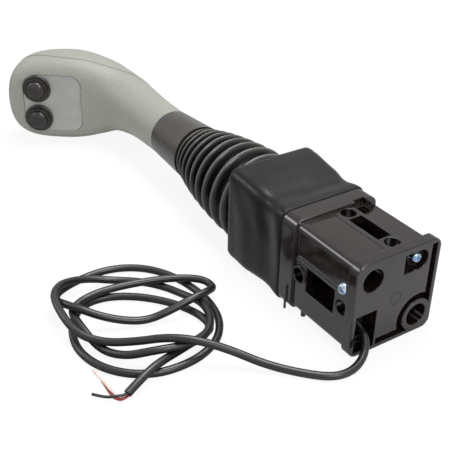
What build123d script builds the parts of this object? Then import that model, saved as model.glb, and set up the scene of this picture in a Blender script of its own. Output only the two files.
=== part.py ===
"""Industrial control joystick: moulded base housing, two-axis gimbal, rubber boot and
bellows, cranked grip with two push buttons, and a three-core cord.

All sizes are millimetres.  The joystick lies on its side: X runs along the lever, with the
flange's mounting face at x = 0 and the grip towards -X, and Z is up.
"""
from build123d import *

import math
import os

os.makedirs("parts", exist_ok=True)

# Base housing
flange_side = 61.0
flange_thick = 7.0
flange_corner = 6.0
edge_round = 0.8
body_inset = 1.75
body_corner = 4.0
body_length = 47.0
collar_length = 12.5
spigot_inset = 3.5
spigot_length = 17.5
spigot_wall = 4.0
cavity_corner = 3.0

# Cable ports and the recesses of the flange face
port_dia = 14.6
port_offset = 18.5
port_relief = 14.0
port_relief_gap = 1.0
rim_wall = 2.7
channel_width = 4.4
channel_depth = 4.5
channel_run = 23.0
port_boss_wall = 3.2
lead_window_width = 15.0
lead_window_height = 25.0
lead_window_top = -2.8
mark_dia = 8.0
mark_depth = 0.4

# Side features: a hole, a slot and a hole in a row, beside a sunk panel
side_hole_dia = 9.5
side_hole_pitch = 37.0
slot_length = 25.0
top_slot_width = 10.0
top_row_offset = 4.2
near_slot_width = 17.0
near_row_offset = -2.5
panel_sink = 0.8
panel_gap = 2.0
step_offset = 11.4
step_depth = 4.2
rib_thick = 1.2
rib_proud = 1.0
latch_length = 5.0
latch_width = 8.5
fin_length = 17.0
nub_dia = 3.0

# Assembly screws
screw_head_dia = 7.6
screw_head_height = 4.0
screw_shank_dia = 4.0
screw_shank_length = 9.0
near_screw_height = 11.0
face_screw_across = 15.0
face_screw_up = 20.3
face_pocket_dia = 12.6
face_pocket_floor = 2.0
face_window_width = 7.5
screw_sink = 0.9

# Gimbal
pivot_set_back = 7.5
pivot_pin_dia = 6.0
pin_recess = 1.0
bush_wall = 1.5
ring_half_x = 7.0
ring_gap = 3.0
ring_half_z = 15.0
ring_window_y = 12.5
ring_window_z = 10.0
hub_pin_dia = 5.0
hub_half = 8.0
hub_gap = 0.4
run_fit = 0.05
seat_fit = 0.02
ball_dia = 7.0
ball_reach = 18.5
ball_neck_dia = 4.0
crank_reach = 17.0
crank_arm = 15.0
crank_thick = 6.0

# Boot
boot_rear_skin = 4.7
boot_waist_skin = 3.3
boot_front_skin = 5.0
boot_corner = 7.0
boot_length = 56.0
boot_wall = 3.0
boot_front_round = 3.5
boot_lip_share = 0.08
boot_lip_step = 0.4
boot_waist_share = 0.25
boot_swell_share = 0.5
boot_swell_step = 1.0
boot_brim_share = 0.94
mouth_dia = 54.0
rubber_fit = 0.1

# Bellows
fold_count = 9
first_fold_dia = 64.0
last_fold_dia = 40.0
fold_growth = 1.11
fold_taper = 1.4
deep_fold = 6.0
shallow_fold = 3.0
rubber_wall = 1.6
bellows_foot = 2.0
cuff_length = 8.0
cuff_gap = 0.3
bellows_length = 83.0

# Lever and its collar
rod_dia = 12.0
rod_bore = 8.0
rod_stop_gap = 3.0
sleeve_wide_dia = 41.4
sleeve_step = 0.8
sleeve_length = 38.0

# Grip.  Its reach sets the size of the head and of all that sits in it.
grip_reach = 131.5
neck_dia = 0.2722 * grip_reach
palm_proud = 0.35
grip_wall = 3.6
core_length = 0.3726 * grip_reach
face_trim = 0.0129 * grip_reach
panel_side = 0.35 * grip_reach
panel_thick = 2.5
panel_fit = 0.4
panel_neck_corner = 0.0684 * grip_reach
panel_far_corner = 0.0852 * grip_reach
panel_ledge = 2.0
panel_along = 0.1916 * grip_reach
neck_screw_pitch = core_length / 2

# Buttons
button_pitch = 0.1901 * grip_reach
bezel_dia = 0.1703 * grip_reach
bezel_height = 2.4
ferrule_dia = 0.1369 * grip_reach
ferrule_height = 2.0
barrel_dia = 10.0
barrel_length = 0.1065 * grip_reach
cap_dia = 0.1065 * grip_reach
cap_rise = 3.2
cap_bore_gap = 0.3
cap_engage = 1.5
stem_dia = 6.0
stem_length = 10.0
button_travel = 1.8
stop_gap = 0.1
nut_across = 14.0
nut_thick = 2.6
switch_side = 0.1065 * grip_reach
switch_height = 0.076 * grip_reach

# Cord
cord_dia = 4.7
core_wire_dia = 1.4
wire_gap = 0.3
wire_lead = 3.2
coil_x = -97.0
coil_y = -113.0
coil_long = 110.0
coil_short = 94.5
coil_band = 36.0
coil_height = 2.2 * cord_dia
bend_share = 0.45
gland_dia = 9.0
gland_set_back = 6.0

# Places worked out from the sizes above
flange_half = flange_side / 2
body_half = flange_half - body_inset
spigot_side = flange_side - 2 * spigot_inset
cavity_side = spigot_side - 2 * spigot_wall
cavity_half = cavity_side / 2
ring_half_y = cavity_half - ring_gap
boot_rear_side = spigot_side + 2 * boot_rear_skin
boot_waist_side = spigot_side + 2 * boot_waist_skin
boot_front_side = spigot_side + 2 * boot_front_skin
collar_front_x = -flange_thick - body_length
collar_rear_x = collar_front_x - collar_length
spigot_end_x = collar_rear_x - spigot_length
pivot_x = collar_rear_x - pivot_set_back
row_x = (collar_front_x - flange_thick) / 2
boot_front_x = collar_rear_x - boot_length
sleeve_start_x = boot_front_x - bellows_length
grip_start_x = sleeve_start_x - sleeve_length
neck_half = neck_dia / 2
sleeve_end_dia = neck_dia + sleeve_step

# Grip sections, from the neck to the tip, seen from above, in shares of the grip's reach:
# front along, front across, back along, back across, height and squareness.  Front is the
# side that carries the buttons.  Squareness runs from 0, an oval, to 1, the flat-fronted head.
grip_shape = [
    (0.065, -0.137, 0.065, 0.137, 0.274, 0.00),
    (0.133, -0.138, 0.133, 0.138, 0.276, 0.00),
    (0.202, -0.139, 0.202, 0.139, 0.280, 0.00),
    (0.285, -0.142, 0.289, 0.143, 0.290, 0.00),
    (0.369, -0.148, 0.392, 0.148, 0.312, 0.05),
    (0.483, -0.163, 0.559, 0.141, 0.357, 0.20),
    (0.559, -0.198, 0.741, 0.099, 0.433, 0.60),
    (0.620, -0.259, 0.901, 0.000, 0.506, 0.90),
    (0.692, -0.353, 1.008, -0.122, 0.538, 1.00),
    (0.779, -0.468, 1.068, -0.259, 0.526, 1.00),
    (0.856, -0.570, 1.084, -0.380, 0.452, 0.80),
    (0.905, -0.605, 1.068, -0.464, 0.335, 0.50),
    (0.951, -0.601, 1.038, -0.525, 0.183, 0.20),
]
tip_along = 1.004
tip_across = -0.578


def grip_row(shape):
    """One section's places and height in millimetres, from its shares of the reach."""
    front_along, front_across, back_along, back_across, height, square = shape
    return (
        grip_start_x - front_along * grip_reach, front_across * grip_reach,
        grip_start_x - back_along * grip_reach, back_across * grip_reach,
        height * grip_reach, square,
    )


neck_row = (grip_start_x, -neck_half, grip_start_x, neck_half, neck_dia, 0.0)
grip_sections = [neck_row] + [grip_row(shape) for shape in grip_shape]
grip_tip = (grip_start_x - tip_along * grip_reach, tip_across * grip_reach, 0.0)
cavity_sections = grip_sections[:-2]
head_height = max(row[4] for row in grip_sections)

# Bezier arms of a round section, and what full squareness adds to them
round_arm = 0.5523
front_up_gain = 0.30
front_out_gain = 0.25
back_gain = 0.06

# The table that the joystick lies on touches the flange's lower edge and the head.
head_x = grip_row(grip_shape[-3])[0]
table_slope = (head_height / 2 + palm_proud - flange_half) / -head_x


def table_height(x):
    """Height of the table under a point x."""
    return -flange_half - table_slope * -x


def cross_plane(x):
    """Plane across the lever at x, with its own axes along Y and Z."""
    return Plane(origin=(x, 0, 0), x_dir=(0, 1, 0), z_dir=(1, 0, 0))


def side_plane(height, turn):
    """Plane on a side face: turn 0 is the top, 90 the near side, 180 the underside."""
    angle = math.radians(turn)
    outward = (0, -math.sin(angle), math.cos(angle))
    return Plane(origin=tuple(height * n for n in outward), x_dir=(1, 0, 0), z_dir=outward)


def straight_plane(x, y, z, outward):
    """Plane at a point, facing along one of the axes."""
    return Plane(origin=(x, y, z), z_dir=outward)


def section_plane(row):
    """Plane of one grip section, with its own x towards the front and y up."""
    front_x, front_y, back_x, back_y = row[:4]
    depth = math.hypot(front_x - back_x, front_y - back_y)
    fx = (front_x - back_x) / depth
    fy = (front_y - back_y) / depth
    middle = ((front_x + back_x) / 2, (front_y + back_y) / 2, 0)
    return Plane(origin=middle, x_dir=(fx, fy, 0), z_dir=(fy, -fx, 0))


def oval(depth, height, square):
    """Closed outline of four curves: round behind, and flatter in front as square grows."""
    a = depth / 2
    b = height / 2
    front_up = round_arm + front_up_gain * square
    front_out = round_arm + front_out_gain * square
    back_arm = round_arm + back_gain * square
    Bezier((a, 0), (a, front_up * b), (front_out * a, b), (0, b))
    Bezier((0, b), (-back_arm * a, b), (-a, back_arm * b), (-a, 0))
    Bezier((-a, 0), (-a, -back_arm * b), (-back_arm * a, -b), (0, -b))
    Bezier((0, -b), (front_out * a, -b), (a, -front_up * b), (a, 0))


def lofted_grip(rows, wall, tip):
    """Loft through the grip's sections, each drawn in by the wall."""
    with BuildPart() as form:
        for row in rows:
            depth = math.hypot(row[0] - row[2], row[1] - row[3])
            with BuildSketch(section_plane(row)):
                with BuildLine():
                    oval(depth - 2 * wall, row[4] - 2 * wall, row[5])
                make_face()
        loft(sections=form.pending_faces + tip)
    return form.part


def save(piece, label):
    """Label a finished piece and write it."""
    piece.label = label
    export_step(piece, f"parts/{label}.step")


# Housing: flange, square body, collar and the spigot that the boot is pulled over
with BuildPart() as housing:
    with BuildSketch(cross_plane(0)):
        RectangleRounded(flange_side, flange_side, flange_corner)
    extrude(amount=-flange_thick)
    with BuildSketch(cross_plane(collar_front_x)):
        RectangleRounded(flange_side, flange_side, flange_corner)
    extrude(amount=-collar_length)
    rims = housing.edges().filter_by(Plane.YZ)
    chamfer(rims, length=edge_round / 2)
    with BuildSketch(cross_plane(-flange_thick)):
        RectangleRounded(2 * body_half, 2 * body_half, body_corner)
    extrude(amount=-body_length)
    with BuildSketch(cross_plane(collar_rear_x)):
        RectangleRounded(spigot_side, spigot_side, body_corner)
    extrude(amount=-spigot_length)
    with BuildSketch(cross_plane(-flange_thick)):
        RectangleRounded(cavity_side, cavity_side, cavity_corner)
    extrude(amount=spigot_end_x + flange_thick, mode=Mode.SUBTRACT)

    # Top face: hole, slot and hole in a row, a sunk panel beside it and a lower far part
    with BuildSketch(side_plane(body_half, 0)):
        with Locations((row_x, top_row_offset)):
            with GridLocations(side_hole_pitch, 0, 2, 1):
                Circle(side_hole_dia / 2)
            Rectangle(slot_length, top_slot_width)
    extrude(amount=-(body_half - cavity_half), mode=Mode.SUBTRACT)
    with BuildSketch(side_plane(body_half, 0)):
        panel_low = -body_half + body_corner + panel_gap
        panel_high = top_row_offset - side_hole_dia / 2 - panel_gap
        with Locations((row_x, (panel_low + panel_high) / 2)):
            Rectangle(body_length - 2 * panel_gap, panel_high - panel_low)
    extrude(amount=-panel_sink, mode=Mode.SUBTRACT)
    with BuildSketch(side_plane(body_half, 0)):
        with Locations((row_x, (step_offset + flange_half) / 2)):
            Rectangle(body_length, flange_half - step_offset)
    extrude(amount=-step_depth, mode=Mode.SUBTRACT)
    with BuildSketch(side_plane(body_half, 0)):
        with Locations((collar_front_x + latch_length / 2, step_offset + latch_width / 2 + panel_gap)):
            Rectangle(latch_length, latch_width)
    extrude(amount=-(body_half - cavity_half), mode=Mode.SUBTRACT)
    with BuildSketch(side_plane(flange_half, 0)):
        with Locations((collar_front_x, step_offset + latch_width / 2 + panel_gap)):
            Rectangle(latch_length, latch_width)
    extrude(amount=-step_depth, mode=Mode.SUBTRACT)

    # Near face: hole, wide slot and hole in a row, a ridge and a sunk panel above them
    with BuildSketch(side_plane(body_half, 90)):
        with Locations((row_x, near_row_offset)):
            with GridLocations(side_hole_pitch, 0, 2, 1):
                Circle(side_hole_dia / 2)
            Rectangle(slot_length, near_slot_width)
    extrude(amount=-(body_half - cavity_half), mode=Mode.SUBTRACT)
    ridge_height = near_row_offset + near_slot_width / 2 + rib_thick
    with BuildSketch(side_plane(body_half, 90)):
        band_low = ridge_height + panel_gap
        band_high = body_half - body_corner
        with Locations((row_x - panel_gap, (band_low + band_high) / 2)):
            Rectangle(body_length - 4 * panel_gap, band_high - band_low)
    extrude(amount=-panel_sink, mode=Mode.SUBTRACT)
    with BuildSketch(side_plane(body_half, 90)):
        with Locations((row_x - panel_gap, ridge_height)):
            Rectangle(body_length - 4 * panel_gap, rib_thick)
        with Locations((row_x - side_hole_pitch / 2, near_row_offset)):
            Circle(side_hole_dia / 2 + rib_thick)
            Circle(side_hole_dia / 2, mode=Mode.SUBTRACT)
    extrude(amount=rib_proud)

    # Fin on the collar and a locating nub under the body
    with BuildSketch(side_plane(flange_half, 90)):
        with Locations((collar_front_x - collar_length / 3, -flange_half + fin_length / 2 - rib_proud)):
            Rectangle(rib_thick, fin_length)
    extrude(amount=rib_proud)
    with BuildSketch(side_plane(cavity_half, 180)):
        with Locations((collar_front_x + latch_width, body_half - body_corner / 2)):
            Circle(nub_dia / 2)
    extrude(amount=flange_half - cavity_half)

    # Cable ports, corner to corner across the flange, and wider room behind them in the body
    with BuildSketch(cross_plane(0)):
        with Locations((-port_offset, port_offset), (port_offset, -port_offset)):
            Circle(port_dia / 2)
    extrude(amount=-flange_thick, mode=Mode.SUBTRACT)
    with BuildSketch(cross_plane(-flange_thick)):
        with Locations((-port_offset, port_offset), (port_offset, -port_offset)):
            Circle(port_dia / 2 + port_relief_gap)
    extrude(amount=-port_relief, mode=Mode.SUBTRACT)

    # Sunk channel inside the rim, down the far side and round the lower port
    inner_edge = flange_half - rim_wall
    with BuildSketch(cross_plane(0)) as channel:
        with Locations((inner_edge - channel_width / 2, port_offset / 2)):
            Rectangle(channel_width, 2 * inner_edge - port_offset)
        with Locations((0, -inner_edge + channel_width / 2)):
            Rectangle(channel_run, channel_width)
        with Locations((port_offset, -port_offset)):
            Circle(port_dia / 2 + port_boss_wall + channel_width)
        with Locations((port_offset, -port_offset)):
            Circle(port_dia / 2 + port_boss_wall, mode=Mode.SUBTRACT)
        Rectangle(2 * inner_edge, 2 * inner_edge, mode=Mode.INTERSECT)
        with Locations((port_offset + flange_half, -port_offset - flange_half)):
            Rectangle(flange_side, flange_side, mode=Mode.SUBTRACT)
    extrude(amount=-channel_depth, mode=Mode.SUBTRACT)

    # Window for the cord, window beside the face screw, and the screw's pocket
    window_y = -inner_edge + lead_window_width / 2
    window_z = lead_window_top - lead_window_height / 2
    with BuildSketch(cross_plane(0)):
        with Locations((window_y, window_z)):
            Rectangle(lead_window_width, lead_window_height)
    extrude(amount=-flange_thick, mode=Mode.SUBTRACT)
    with BuildSketch(cross_plane(0)):
        with Locations((face_screw_across - face_window_width, face_screw_up)):
            Rectangle(face_window_width, face_pocket_dia)
    extrude(amount=-flange_thick, mode=Mode.SUBTRACT)
    with BuildSketch(cross_plane(0)):
        with Locations((face_screw_across, face_screw_up)):
            Circle(face_pocket_dia / 2)
    extrude(amount=-(flange_thick - face_pocket_floor), mode=Mode.SUBTRACT)
    with BuildSketch(cross_plane(0)):
        with Locations((face_screw_across, face_screw_up)):
            Circle(screw_shank_dia / 2 + seat_fit)
    extrude(amount=-flange_thick, mode=Mode.SUBTRACT)
    with BuildSketch(cross_plane(0)):
        Circle(mark_dia / 2)
        Circle(mark_dia / 2 - mark_depth, mode=Mode.SUBTRACT)
    extrude(amount=-mark_depth, mode=Mode.SUBTRACT)

    # Counterbore and hole of the screw on the near side
    near_screw_x = -flange_thick - screw_head_dia / 2 - seat_fit
    with BuildSketch(side_plane(body_half, 90)):
        with Locations((near_screw_x, near_screw_height)):
            Circle(screw_head_dia / 2 + seat_fit)
    extrude(amount=-screw_sink, mode=Mode.SUBTRACT)
    with BuildSketch(side_plane(body_half, 90)):
        with Locations((near_screw_x, near_screw_height)):
            Circle(screw_shank_dia / 2 + seat_fit)
    extrude(amount=-(body_half - cavity_half), mode=Mode.SUBTRACT)

    # Holes for the outer pivot pins through the spigot
    with BuildSketch(side_plane(spigot_side / 2, 90)):
        with Locations((pivot_x, 0)):
            Circle(pivot_pin_dia / 2 + seat_fit)
    extrude(amount=-spigot_side, mode=Mode.SUBTRACT)

    # Web behind the cord's window, which holds the gland
    gland_face_x = -flange_thick - gland_set_back
    gland_y = -cavity_half + gland_dia / 2 + rib_thick + rubber_fit
    gland_z = gland_y
    with BuildSketch(cross_plane(gland_face_x)) as web:
        with Locations((-cavity_half + lead_window_width / 2, -cavity_half + lead_window_width / 2)):
            Rectangle(lead_window_width, lead_window_width)
        with Locations((gland_y, gland_z)):
            Circle(gland_dia / 2, mode=Mode.SUBTRACT)
    extrude(amount=-rib_thick * 2)
save(housing.part, "housing")

# Screws: one in the flange face, one on the near side
with BuildPart() as housing_screws:
    face_head_x = -(flange_thick - face_pocket_floor)
    with BuildSketch(cross_plane(face_head_x)):
        with Locations((face_screw_across, face_screw_up)):
            Circle(screw_head_dia / 2)
    extrude(amount=screw_head_height)
    with BuildSketch(cross_plane(face_head_x)):
        with Locations((face_screw_across, face_screw_up)):
            Circle(screw_shank_dia / 2)
    extrude(amount=-screw_shank_length)
    with BuildSketch(side_plane(body_half - screw_sink, 90)):
        with Locations((near_screw_x, near_screw_height)):
            Circle(screw_head_dia / 2)
    extrude(amount=screw_head_height)
    with BuildSketch(side_plane(body_half - screw_sink, 90)):
        with Locations((near_screw_x, near_screw_height)):
            Circle(screw_shank_dia / 2)
    extrude(amount=-(body_half - screw_sink - cavity_half - 2 * rib_thick))
save(housing_screws.part, "housing_screws")

# Outer pivot: pins in the spigot, bushes in the ring
with BuildPart() as pivot_pins:
    pin_inner = ring_window_y + pin_recess
    for turn in (90, 270):
        with BuildSketch(side_plane(spigot_side / 2, turn)):
            with Locations((pivot_x, 0)):
                Circle(pivot_pin_dia / 2)
        extrude(amount=-(spigot_side / 2 - pin_inner))
save(pivot_pins.part, "pivot_pins")

bush_dia = pivot_pin_dia + 2 * run_fit + 2 * bush_wall
with BuildPart() as pivot_bushes:
    for turn in (90, 270):
        with BuildSketch(side_plane(ring_half_y, turn)):
            with Locations((pivot_x, 0)):
                Circle(bush_dia / 2)
                Circle(pivot_pin_dia / 2 + run_fit, mode=Mode.SUBTRACT)
        extrude(amount=-(ring_half_y - ring_window_y))
save(pivot_bushes.part, "pivot_bushes")

# Gimbal ring between the two axes
with BuildPart() as gimbal_ring:
    with BuildSketch(cross_plane(pivot_x + ring_half_x)):
        RectangleRounded(2 * ring_half_y, 2 * ring_half_z, cavity_corner)
        Rectangle(2 * ring_window_y, 2 * ring_window_z, mode=Mode.SUBTRACT)
    extrude(amount=-2 * ring_half_x)
    with BuildSketch(side_plane(ring_half_y, 90)):
        with Locations((pivot_x, 0)):
            Circle(bush_dia / 2 + seat_fit)
    extrude(amount=-2 * ring_half_y, mode=Mode.SUBTRACT)
    with BuildSketch(side_plane(ring_half_z, 0)):
        with Locations((pivot_x, 0)):
            Circle(hub_pin_dia / 2 + seat_fit)
    extrude(amount=-2 * ring_half_z, mode=Mode.SUBTRACT)
    with BuildSketch(side_plane(ring_half_z, 0)):
        with Locations((pivot_x, -ball_reach + ball_neck_dia / 2)):
            Circle(ball_neck_dia / 2 + seat_fit)
    extrude(amount=-crank_thick, mode=Mode.SUBTRACT)
save(gimbal_ring.part, "gimbal_ring")

# Ball stud on the ring, which the first control cable hooks on
with BuildPart() as ring_ball_stud:
    with BuildSketch(side_plane(ball_reach, 0)):
        with Locations((pivot_x, -ball_reach + ball_neck_dia / 2)):
            Circle(ball_neck_dia / 2)
    extrude(amount=-(ball_reach - ring_half_z + crank_thick))
    with Locations((pivot_x, -ball_reach + ball_neck_dia / 2, ball_reach)):
        Sphere(ball_dia / 2)
save(ring_ball_stud.part, "ring_ball_stud")

# Inner pivot pins, upright through the ring into the hub
hub_half_z = ring_window_z - hub_gap
with BuildPart() as hub_pins:
    pin_depth = ring_half_z - hub_half / 2
    for turn in (0, 180):
        with BuildSketch(side_plane(ring_half_z, turn)):
            with Locations((pivot_x, 0)):
                Circle(hub_pin_dia / 2)
        extrude(amount=-pin_depth)
save(hub_pins.part, "hub_pins")

# Lever hub: block in the ring, crank arm behind it, socket for the rod
rod_start_x = pivot_x - hub_half
crank_x = pivot_x + crank_reach
with BuildPart() as lever_hub:
    with BuildSketch(cross_plane(pivot_x + hub_half)):
        RectangleRounded(2 * hub_half, 2 * hub_half_z, edge_round)
    extrude(amount=-2 * hub_half)
    with BuildSketch(side_plane(crank_thick / 2, 0)):
        with Locations(((pivot_x + crank_x) / 2, 0)):
            Rectangle(crank_reach + crank_thick, hub_half)
        with Locations((crank_x, crank_arm / 2 - hub_half / 4)):
            Rectangle(crank_thick, crank_arm + hub_half / 2)
    extrude(amount=-crank_thick)
    with BuildSketch(side_plane(hub_half_z, 0)):
        with Locations((pivot_x, 0)):
            Circle(hub_pin_dia / 2 + run_fit)
    extrude(amount=-2 * hub_half_z, mode=Mode.SUBTRACT)
save(lever_hub.part, "lever_hub")

with BuildPart() as hub_ball_stud:
    with BuildSketch(side_plane(ball_dia / 2 + crank_thick / 2, 0)):
        with Locations((crank_x, crank_arm - crank_thick / 2)):
            Circle(ball_neck_dia / 2)
    extrude(amount=-ball_dia / 2)
    with Locations((crank_x, crank_arm - crank_thick / 2, crank_thick / 2 + ball_dia)):
        Sphere(ball_dia / 2 + seat_fit)
save(hub_ball_stud.part, "hub_ball_stud")

# Lever rod, a tube that also carries the button leads
rod_end_x = grip_start_x - core_length + rod_stop_gap
with BuildPart() as lever_rod:
    with BuildSketch(cross_plane(rod_start_x)):
        Circle(rod_dia / 2)
        Circle(rod_bore / 2, mode=Mode.SUBTRACT)
    extrude(amount=rod_end_x - rod_start_x)
save(lever_rod.part, "lever_rod")

# Boot: square rubber cover, pulled over the spigot, with a pinched waist.  Each station is
# its share of the length, its side and its corner radius.
boot_stations = [
    (0.0, boot_rear_side, boot_corner),
    (boot_lip_share, boot_rear_side - boot_lip_step, boot_corner),
    (boot_waist_share, boot_waist_side, boot_corner),
    (boot_swell_share, boot_front_side - boot_swell_step, boot_corner),
    (boot_brim_share, boot_front_side, boot_corner),
    (1.0, boot_front_side - boot_front_round, boot_corner - boot_front_round / 2),
]
with BuildPart() as boot:
    for share, side, corner in boot_stations:
        with BuildSketch(cross_plane(collar_rear_x - share * boot_length)):
            RectangleRounded(side, side, corner)
    loft(ruled=True)
    with BuildSketch(cross_plane(collar_rear_x)):
        RectangleRounded(spigot_side + 2 * rubber_fit, spigot_side + 2 * rubber_fit, body_corner)
    extrude(amount=-(boot_length - boot_wall), mode=Mode.SUBTRACT)
    with BuildSketch(cross_plane(boot_front_x + boot_wall)):
        Circle(mouth_dia / 2)
    extrude(amount=-boot_wall, mode=Mode.SUBTRACT)
save(boot.part, "boot")

# Bellows: folds that grow from the sleeve to the boot, one closed ring of rubber
fold_share = [fold_growth ** (fold_count - 1 - i) for i in range(fold_count)]
fold_pitch = [bellows_length * share / sum(fold_share) for share in fold_share]
crests = []
x_at = boot_front_x
for i, pitch in enumerate(fold_pitch):
    along = i / (fold_count - 1)
    crest = (first_fold_dia + (last_fold_dia - first_fold_dia) * along ** fold_taper) / 2
    depth = deep_fold + (shallow_fold - deep_fold) * along
    crests.append((x_at - pitch / 2, crest, crest - depth))
    x_at -= pitch
outer_line = [(boot_front_x, mouth_dia / 2 + bellows_foot)]
inner_line = [(boot_front_x, mouth_dia / 2)]
for i, (x, crest, root) in enumerate(crests):
    outer_line.append((x, crest))
    inner_line.append((x, crest - rubber_wall))
    valley_x = x - fold_pitch[i] / 2
    outer_line.append((valley_x, root))
    inner_line.append((valley_x, root - rubber_wall))
cuff_radius = sleeve_wide_dia / 2 - bellows_foot - cuff_gap
outer_line[-1] = (sleeve_start_x, cuff_radius)
inner_line[-1] = (sleeve_start_x, cuff_radius - rubber_wall)
outer_line.append((sleeve_start_x - cuff_length, cuff_radius))
inner_line.append((sleeve_start_x - cuff_length, cuff_radius - rubber_wall))
with BuildPart() as bellows:
    with BuildSketch(Plane.XY):
        with BuildLine():
            Polyline(outer_line + inner_line[::-1], close=True)
        make_face()
    revolve(axis=Axis.X)
save(bellows.part, "bellows")

# Sleeve that clamps the bellows' cuff to the rod
with BuildPart() as sleeve:
    with BuildSketch(Plane.XY):
        with BuildLine():
            Polyline(
                (sleeve_start_x, sleeve_wide_dia / 2),
                (sleeve_start_x - sleeve_length, sleeve_end_dia / 2),
                (sleeve_start_x - sleeve_length, rod_dia / 2 + seat_fit),
                (sleeve_start_x - cuff_length - cuff_gap, rod_dia / 2 + seat_fit),
                (sleeve_start_x - cuff_length - cuff_gap, cuff_radius + cuff_gap),
                (sleeve_start_x, cuff_radius + cuff_gap),
                close=True,
            )
        make_face()
    revolve(axis=Axis.X)
save(sleeve.part, "sleeve")

# Panel's place on the head: on the straight front, sunk so that it lies flush
root_row = grip_sections[-6]
far_row = grip_sections[-3]
face_run = math.hypot(far_row[0] - root_row[0], far_row[1] - root_row[1])
along_x = (far_row[0] - root_row[0]) / face_run
along_y = (far_row[1] - root_row[1]) / face_run
normal_x = -along_y
normal_y = along_x
panel_x = root_row[0] + along_x * panel_along - normal_x * face_trim
panel_y = root_row[1] + along_y * panel_along - normal_y * face_trim
panel_plane = Plane(
    origin=(panel_x, panel_y, 0), x_dir=(-along_x, -along_y, 0), z_dir=(normal_x, normal_y, 0)
)
button_across = -(panel_side / 2 - panel_far_corner)


def panel_outline(grow):
    """Panel's outline: two corners follow the bezels, two are rounder towards the neck."""
    half = panel_side / 2 + grow
    with BuildSketch() as outline:
        Rectangle(2 * half, 2 * half)
        corners = outline.vertices().sort_by(Axis.X)
        fillet(corners[:2], radius=panel_far_corner + grow)
        corners = outline.vertices().group_by(Axis.X)[-1]
        fillet(corners, radius=panel_neck_corner + grow)
    return outline.sketch


# Grip shells: one hollow form, split along a line that runs out over the back of the neck.
# The palm's side stands a little proud, so the line shows as a crease.
parting_shape = [
    (0.369, 0.228), (0.513, 0.061), (0.681, -0.156),
    (0.764, -0.278), (0.871, -0.384), (1.160, -0.639),
]
grip_outer = lofted_grip(grip_sections, 0.0, [Vertex(*grip_tip)])
palm_outer = lofted_grip(grip_sections, -palm_proud, [Vertex(*grip_tip)])
grip_cavity = lofted_grip(cavity_sections, grip_wall, [])
with BuildPart() as palm_side:
    with BuildSketch(Plane.XY.offset(-head_height)):
        with BuildLine():
            parting = Spline(
                *[(grip_start_x - along * grip_reach, across * grip_reach)
                  for along, across in parting_shape]
            )
            tail_corner = parting @ 1 - Vector(neck_dia, 0)
            back_corner = Vector(tail_corner.X, 2 * neck_dia)
            neck_corner = Vector((parting @ 0).X, 2 * neck_dia)
            Polyline(parting @ 1, tail_corner, back_corner, neck_corner, parting @ 0)
        make_face()
    extrude(amount=2 * head_height)

neck_screw_x = [grip_start_x - core_length / 2 + side * neck_screw_pitch / 2 for side in (1, -1)]
with BuildPart() as grip_palm_shell:
    add(palm_outer)
    add(grip_cavity, mode=Mode.SUBTRACT)
    add(palm_side.part, mode=Mode.INTERSECT)
save(grip_palm_shell.part, "grip_palm_shell")

with BuildPart() as grip_finger_shell:
    add(grip_outer)
    add(grip_cavity, mode=Mode.SUBTRACT)
    add(palm_side.part, mode=Mode.SUBTRACT)
    with BuildSketch(panel_plane):
        with Locations((panel_fit + panel_side / 2 - panel_side, 0)):
            Rectangle(2 * panel_side, 2 * head_height)
    extrude(amount=panel_thick * 2, mode=Mode.SUBTRACT)
    with BuildSketch(panel_plane):
        add(panel_outline(panel_fit))
    extrude(amount=-panel_thick, mode=Mode.SUBTRACT)
    with BuildSketch(panel_plane):
        add(panel_outline(-panel_ledge))
    extrude(amount=-(panel_thick + grip_wall), mode=Mode.SUBTRACT)
    for x in neck_screw_x:
        with BuildSketch(straight_plane(x, neck_dia, 0, (0, 1, 0))):
            Circle(screw_head_dia / 2 + seat_fit)
        extrude(amount=-(neck_dia - neck_half + screw_sink + screw_sink), mode=Mode.SUBTRACT)
        with BuildSketch(straight_plane(x, neck_dia, 0, (0, 1, 0))):
            Circle(screw_shank_dia / 2 + seat_fit)
        extrude(amount=-neck_dia, mode=Mode.SUBTRACT)
save(grip_finger_shell.part, "grip_finger_shell")

# Core that ties the neck of the grip to the rod
core_radius = neck_half - grip_wall - run_fit
with BuildPart() as grip_core:
    with BuildSketch(cross_plane(grip_start_x)):
        Circle(core_radius)
        Circle(rod_dia / 2 + seat_fit, mode=Mode.SUBTRACT)
    extrude(amount=-core_length)
    for x in neck_screw_x:
        with BuildSketch(straight_plane(x, core_radius, 0, (0, 1, 0))):
            Circle(screw_shank_dia / 2 + seat_fit)
        extrude(amount=-screw_shank_length / 2, mode=Mode.SUBTRACT)
save(grip_core.part, "grip_core")

with BuildPart() as neck_screws:
    for x in neck_screw_x:
        seat_y = neck_half - 2 * screw_sink
        with BuildSketch(straight_plane(x, seat_y, 0, (0, 1, 0))):
            Circle(screw_head_dia / 2)
        extrude(amount=2 * screw_sink - mark_depth)
        with BuildSketch(straight_plane(x, seat_y, 0, (0, 1, 0))):
            Circle(screw_shank_dia / 2)
        extrude(amount=-(seat_y - core_radius + screw_shank_length / 2))
save(neck_screws.part, "neck_screws")

# Button panel, with a hole for each button's barrel
button_places = [(button_across, button_pitch / 2), (button_across, -button_pitch / 2)]
with BuildPart() as button_panel:
    with BuildSketch(panel_plane):
        add(panel_outline(0.0))
        with Locations(*button_places):
            Circle(barrel_dia / 2 + seat_fit, mode=Mode.SUBTRACT)
    extrude(amount=-panel_thick)
save(button_panel.part, "button_panel")

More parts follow.
